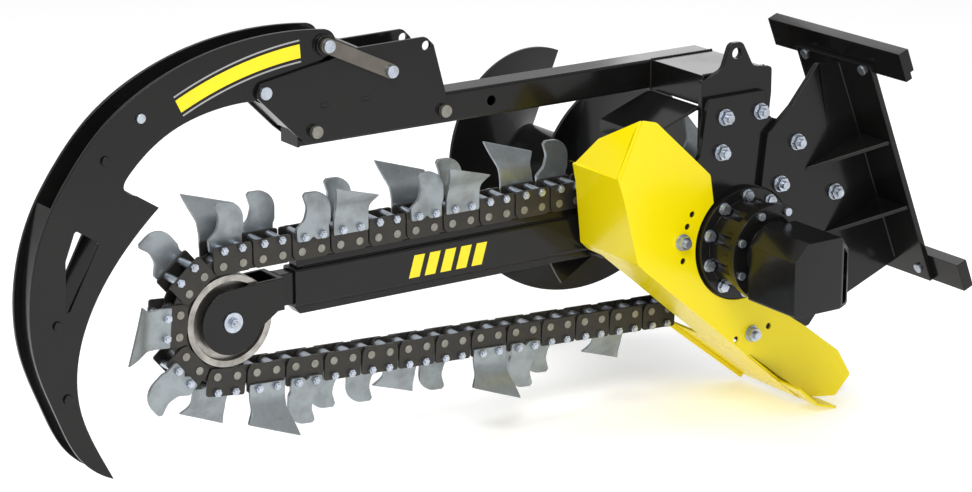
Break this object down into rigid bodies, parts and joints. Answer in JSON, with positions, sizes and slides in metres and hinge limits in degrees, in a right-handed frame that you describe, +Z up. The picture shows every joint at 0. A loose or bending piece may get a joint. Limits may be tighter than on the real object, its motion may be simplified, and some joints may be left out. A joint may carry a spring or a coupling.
{
  "type": "chain trencher attachment",
  "caption": "Loader-mounted chain trencher attachment: digging boom with toothed chain, crumber arm on a beam, spoil auger, deflector and leaning hitch plate.",
  "frame": {"origin": "centre of the lower hitch bar's loader-side face", "axes": "+X towards the loader, -X towards the nose of the boom, -Y the motor side, +Y the auger side, +Z up with the boom level"},
  "size_m": [1.903, 1.029, 0.877],
  "materials": {
    "black_paint": "gloss",
    "yellow_paint": "gloss",
    "chain_steel": "satin",
    "pin_steel": "satin",
    "zinc_steel": "satin",
    "tooth_steel": "satin",
    "wheel_steel": "satin",
    "strap_steel": "satin",
    "bearing_steel": "polished",
    "seal_rubber": "matte"
  },
  "bodies": {
    "frame": {"beam_cross_arm": "black_paint", "bearing_housing": "black_paint", "bearing_outer_rings": "bearing_steel", "boom_root_box": "black_paint", "boom_tube": "black_paint", "boom_wear_rails": "black_paint", "bracket_bolts": "zinc_steel", "bracket_cross_plates": "black_paint", "bracket_plates": "black_paint", "chain_guard": "black_paint", "chain_inner_plates": "chain_steel", "chain_lug_bolts": "zinc_steel", "chain_lug_spacers": "zinc_steel", "chain_pins": "pin_steel", "chain_rollers": "zinc_steel", "chain_side_bars": "chain_steel", "crumber_beam": "black_paint", "deflector": "yellow_paint", "deflector_skid": "yellow_paint", "fin_teeth": "tooth_steel", "head_bolts": "zinc_steel", "head_plate": "black_paint", "hitch_bars": "black_paint", "hitch_bolts": "zinc_steel", "hitch_gussets": "black_paint", "hitch_plate": "black_paint", "hitch_side_plate": "black_paint", "housing_bolts": "zinc_steel", "hydraulic_motor": "black_paint", "lifting_eye_plate": "black_paint", "lynch_pins": "zinc_steel", "motor_adapter": "black_paint", "motor_cover": "black_paint", "quick_pins": "zinc_steel", "scoop_teeth": "tooth_steel", "shaft_seal": "seal_rubber", "stop_spacer": "black_paint", "tension_cylinder": "zinc_steel"},
    "drive_shaft": {"head_shaft": "wheel_steel", "drive_sprocket": "chain_steel", "bearing_inner_rings": "bearing_steel", "motor_shaft": "bearing_steel", "auger_tube": "black_paint", "auger_flight": "black_paint", "auger_flange_bolts": "zinc_steel"},
    "nose_slide": {"nose_carrier": "black_paint", "nose_axle": "zinc_steel", "tension_rod": "bearing_steel"},
    "nose_wheel": {"nose_wheel": "wheel_steel", "nose_wheel_bearings": "bearing_steel"},
    "crumber": {"crumber_plates": "black_paint", "crumber_shoe": "black_paint", "crumber_spacers": "black_paint", "crumber_bolts": "black_paint", "link_straps": "strap_steel", "link_front_bolt": "zinc_steel", "strut_barrel": "black_paint", "strut_rod": "bearing_steel"},
    "front_ring": {"lynch_ring_front": "zinc_steel"},
    "rear_ring": {"lynch_ring_rear": "zinc_steel"}
  },
  "joints": [
    {"name": "drive_spin", "type": "hinge", "parent": "frame", "child": "drive_shaft", "pos_m": [-0.43395, 0.216, 0.08934], "axis": [0, 1, 0], "continuous": true},
    {"name": "nose_tension_slide", "type": "slide", "parent": "frame", "child": "nose_slide", "axis": [1, 0, 0], "range_m": [0, 0.03]},
    {"name": "nose_wheel_spin", "type": "hinge", "parent": "nose_slide", "child": "nose_wheel", "pos_m": [-1.48406, 0.216, 0.06283], "axis": [0, 1, 0], "continuous": true},
    {"name": "crumber_lift", "type": "hinge", "parent": "frame", "child": "crumber", "pos_m": [-1.14295, 0.216, 0.49584], "axis": [0, 1, 0], "range_deg": [0, 60]},
    {"name": "front_ring_swing", "type": "hinge", "parent": "frame", "child": "front_ring", "pos_m": [-1.30595, 0.2705, 0.42134], "axis": [1, 0, 0], "range_deg": [0, 90]},
    {"name": "rear_ring_swing", "type": "hinge", "parent": "frame", "child": "rear_ring", "pos_m": [-1.02195, 0.2705, 0.42134], "axis": [1, 0, 0], "range_deg": [0, 90]}
  ]
}
